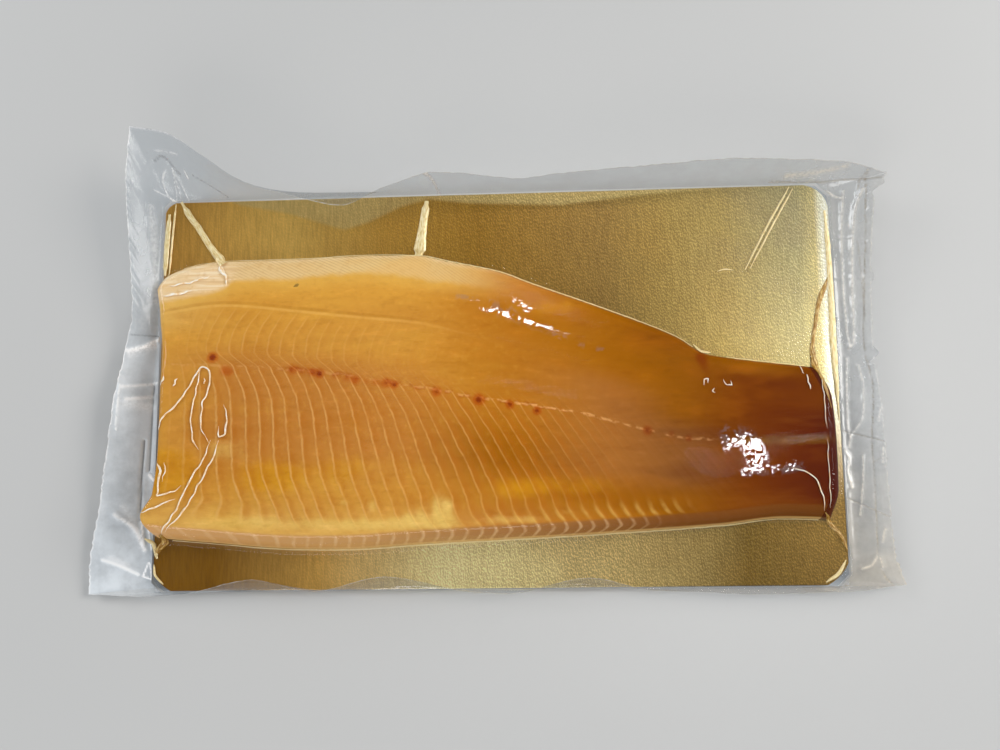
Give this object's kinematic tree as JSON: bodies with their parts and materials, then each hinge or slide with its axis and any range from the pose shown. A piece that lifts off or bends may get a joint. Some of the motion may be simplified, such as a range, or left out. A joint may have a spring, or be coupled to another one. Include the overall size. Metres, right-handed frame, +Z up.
{
  "type": "pack of smoked trout",
  "caption": "Side of smoked trout on a gold board, vacuum packed in a clear film pouch with wide welded margins.",
  "frame": {"origin": "middle of the bounding box's underside, on the face that the pack lies on", "axes": "+X from the fish's head end to its tail, +Y from the loin edge to the belly edge, +Z up"},
  "size_m": [0.3168, 0.1884, 0.0279],
  "materials": {
    "film": "clear flexible film, gloss",
    "gold_board": "metallic gold laminate, finely grained",
    "smoked_flesh": "moist oily flesh"
  },
  "bodies": {
    "root": {"vacuum_pouch": "film", "backing_board": "gold_board", "trout_side": "smoked_flesh"}
  },
  "joints": []
}
